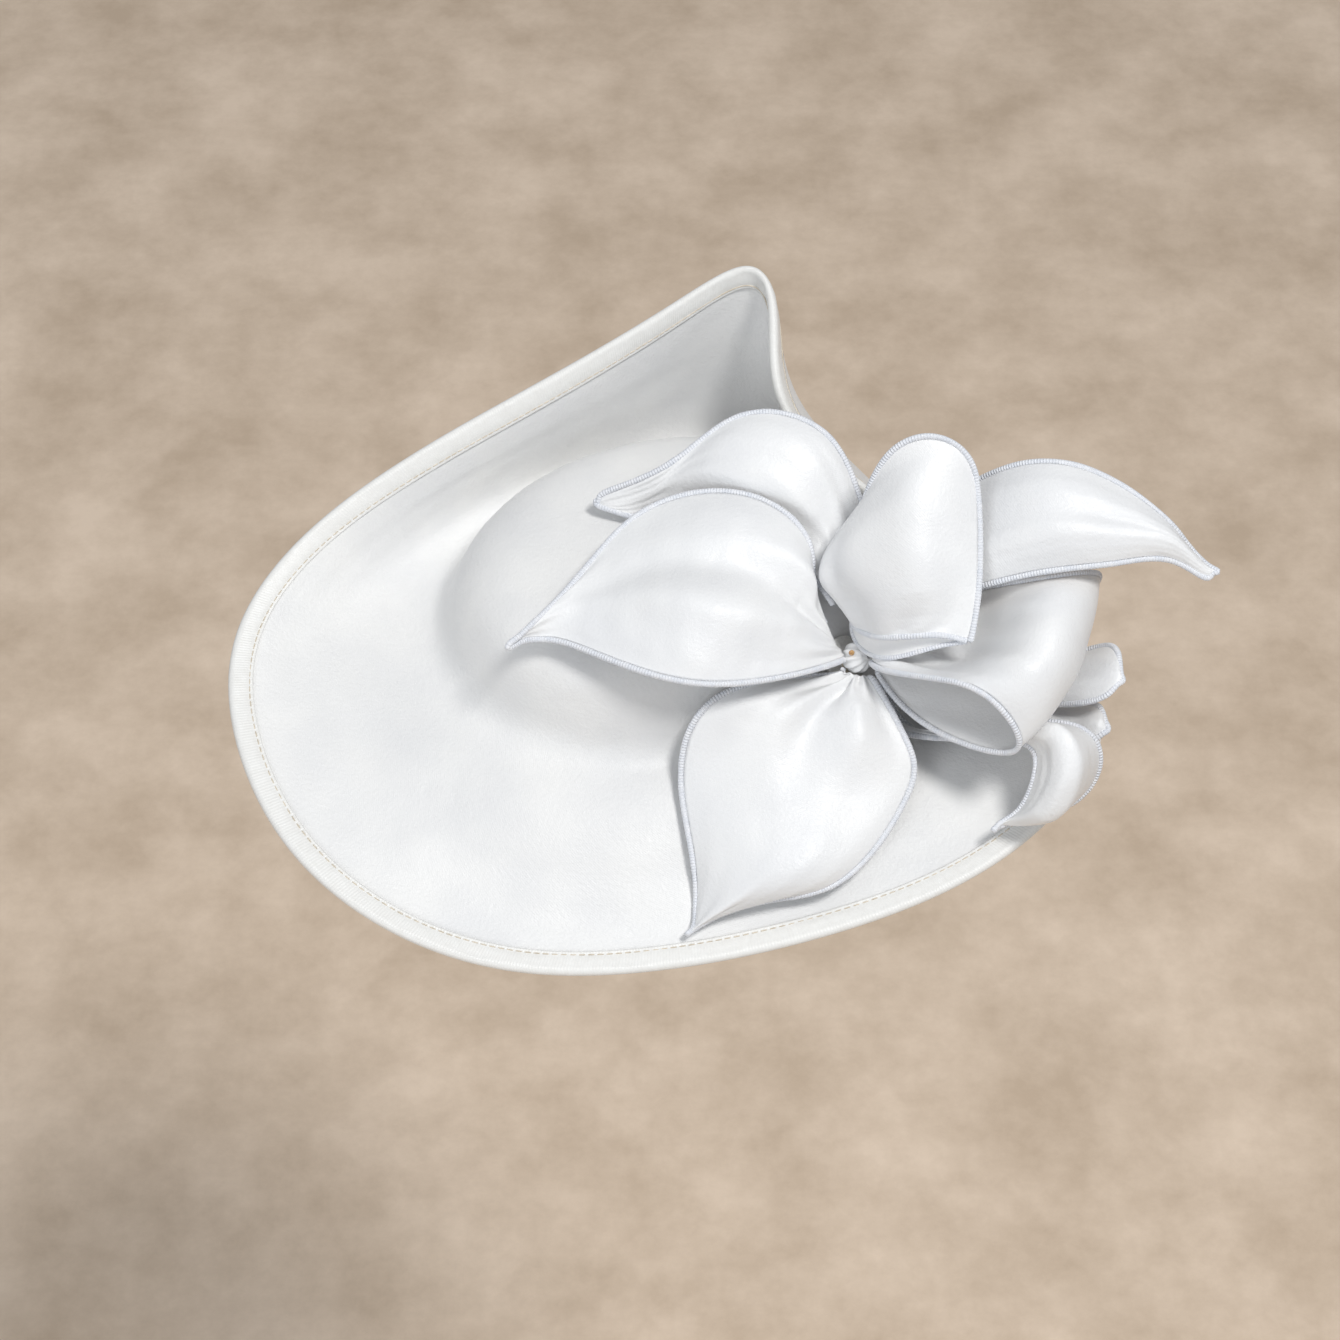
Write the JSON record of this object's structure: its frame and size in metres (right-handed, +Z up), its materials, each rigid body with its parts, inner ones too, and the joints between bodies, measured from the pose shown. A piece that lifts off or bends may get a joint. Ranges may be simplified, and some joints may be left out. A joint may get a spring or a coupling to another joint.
{
  "type": "leaf-trimmed satin headpiece on a headband",
  "caption": "White satin saucer hat with an upswept brim and low oval crown, trimmed with a knotted spray of satin leaves and carried on a sprung headband.",
  "frame": {"origin": "centre of the circle of the headband's inner face, at the wearer's head", "axes": "+Z up through the crown, the wearer faces -Y, the leaves are at +X; left and right in node names are -X and +X, as someone facing the wearer sees them"},
  "size_m": [0.3669, 0.2523, 0.1986],
  "materials": {
    "body_satin": "white satin with a soft sheen",
    "leaf_satin": "white satin with a brighter sheen",
    "lining_satin": "plain white lining satin",
    "band_satin": "white satin tube",
    "hem_thread": "overlocked thread hem",
    "bias_binding": "off-white satin bias tape",
    "buckram": "stiffened open weave",
    "petersham": "ribbed grosgrain",
    "felt": "pressed felt",
    "velvet": "short pile",
    "sewing_thread": "twisted thread",
    "millinery_wire": "drawn wire",
    "spring_steel": "flat spring strip"
  },
  "bodies": {
    "headpiece": {"foundation": "buckram", "top_cover": "body_satin", "under_cover": "body_satin", "crown_lining": "lining_satin", "edge_wire": "millinery_wire", "edge_binding": "bias_binding", "base_plate": "buckram", "head_ribbon": "petersham", "base_lining": "lining_satin", "band_saddle": "felt", "band_stitches": "sewing_thread", "band_core_middle": "spring_steel", "band_sleeve_middle": "band_satin", "band_grip_middle": "velvet", "fixing_disc": "felt", "leaf_stem": "leaf_satin", "binding_thread": "sewing_thread", "front_left_leaf": "leaf_satin", "back_left_leaf": "leaf_satin", "lower_leaf": "leaf_satin", "standing_leaf": "leaf_satin", "right_wing_leaf": "leaf_satin", "folded_loop": "leaf_satin", "far_right_leaf": "leaf_satin", "small_right_leaf": "leaf_satin", "lower_right_leaf": "leaf_satin", "front_left_leaf_hem": "hem_thread", "back_left_leaf_hem": "hem_thread", "lower_leaf_hem": "hem_thread", "standing_leaf_hem": "hem_thread", "right_wing_leaf_hem": "hem_thread", "folded_loop_hem": "hem_thread", "far_right_leaf_hem": "hem_thread", "small_right_leaf_hem": "hem_thread", "lower_right_leaf_hem": "hem_thread"},
    "left_arm": {"band_core_left_arm": "spring_steel", "band_sleeve_left_arm": "band_satin", "band_grip_left_arm": "velvet", "band_tip_left": "band_satin"},
    "right_arm": {"band_core_right_arm": "spring_steel", "band_sleeve_right_arm": "band_satin", "band_grip_right_arm": "velvet", "band_tip_right": "band_satin"}
  },
  "joints": [
    {"name": "left_arm_flex", "type": "hinge", "parent": "headpiece", "child": "left_arm", "pos_m": [-0.03446, 0, 0.05909], "axis": [0, 1, 0], "range_deg": [0, 10], "stiffness_Nm_per_rad": 2},
    {"name": "right_arm_flex", "type": "hinge", "parent": "headpiece", "child": "right_arm", "pos_m": [0.03446, 0, 0.05909], "axis": [0, -1, 0], "range_deg": [0, 10], "stiffness_Nm_per_rad": 2}
  ]
}
